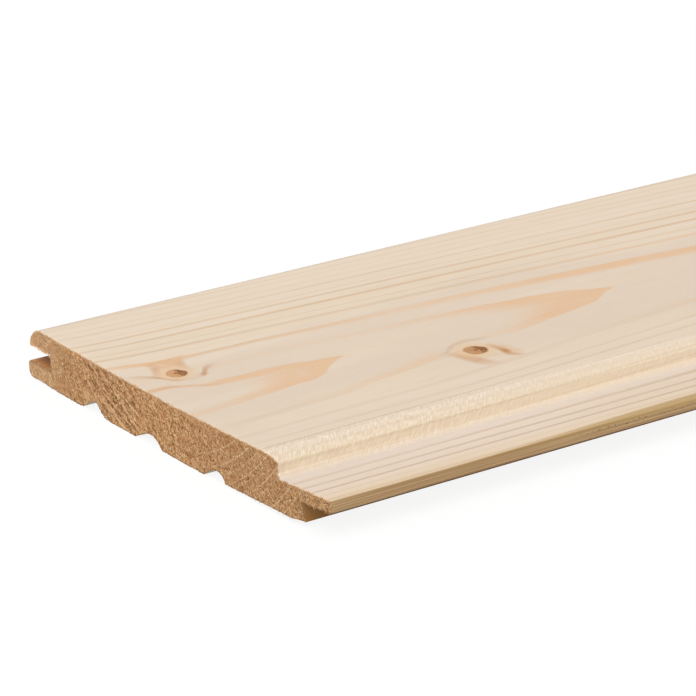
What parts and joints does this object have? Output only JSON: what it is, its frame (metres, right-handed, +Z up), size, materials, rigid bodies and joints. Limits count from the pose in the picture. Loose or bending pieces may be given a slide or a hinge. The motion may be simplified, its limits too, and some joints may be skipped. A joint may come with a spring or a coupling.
{
  "type": "tongue and groove board",
  "caption": "Planed softwood profile board with a tongue and a groove along its edges, a stepped shadow line and relief grooves in its back.",
  "frame": {"origin": "middle of the length and of the overall width, on the level lands of the back, which the board lies on", "axes": "+X along the board, +Y across it towards the groove, +Z up through the face"},
  "size_m": [2, 0.121, 0.0129],
  "materials": {
    "board": "planed, unfinished"
  },
  "bodies": {
    "root": {"board": "board"}
  },
  "joints": []
}
